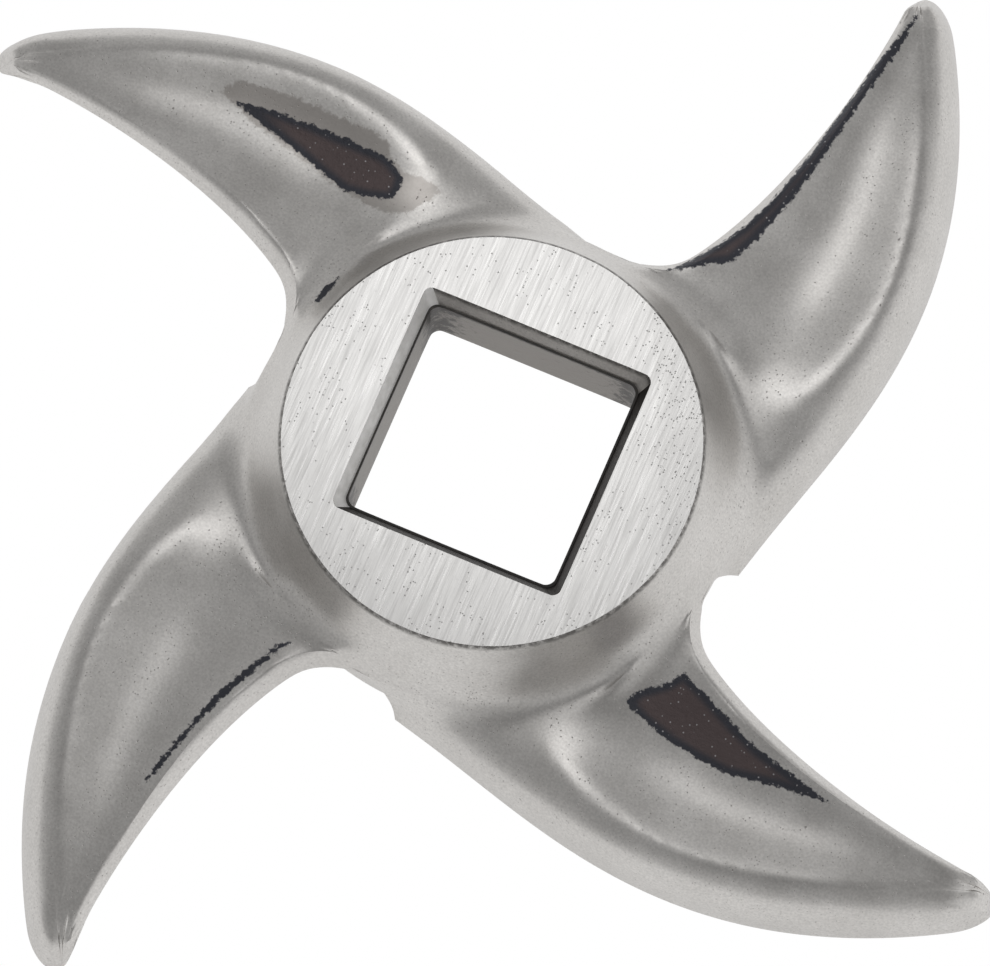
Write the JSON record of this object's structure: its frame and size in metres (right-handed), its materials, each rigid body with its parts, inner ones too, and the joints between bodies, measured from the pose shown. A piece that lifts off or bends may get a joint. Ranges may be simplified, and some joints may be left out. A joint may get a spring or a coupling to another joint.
{
  "type": "meat grinder knife",
  "caption": "Cast meat grinder knife with swept, dished blades, a ground cutting face and a square drive hole through its round hub.",
  "frame": {"origin": "on the cutting plane, under the middle of the hub, at the bottom centre of the bounding box", "axes": "+Z out of the hub along the drive hole, X and Y square to the sides of the drive hole; the knife lies on its cutting face"},
  "size_m": [0.076, 0.076, 0.0097],
  "materials": {
    "cast_steel": "satin cast stainless steel with fine casting pits, hub face and cutting face ground flat"
  },
  "bodies": {
    "root": {"grinder_knife": "cast_steel"}
  },
  "joints": []
}
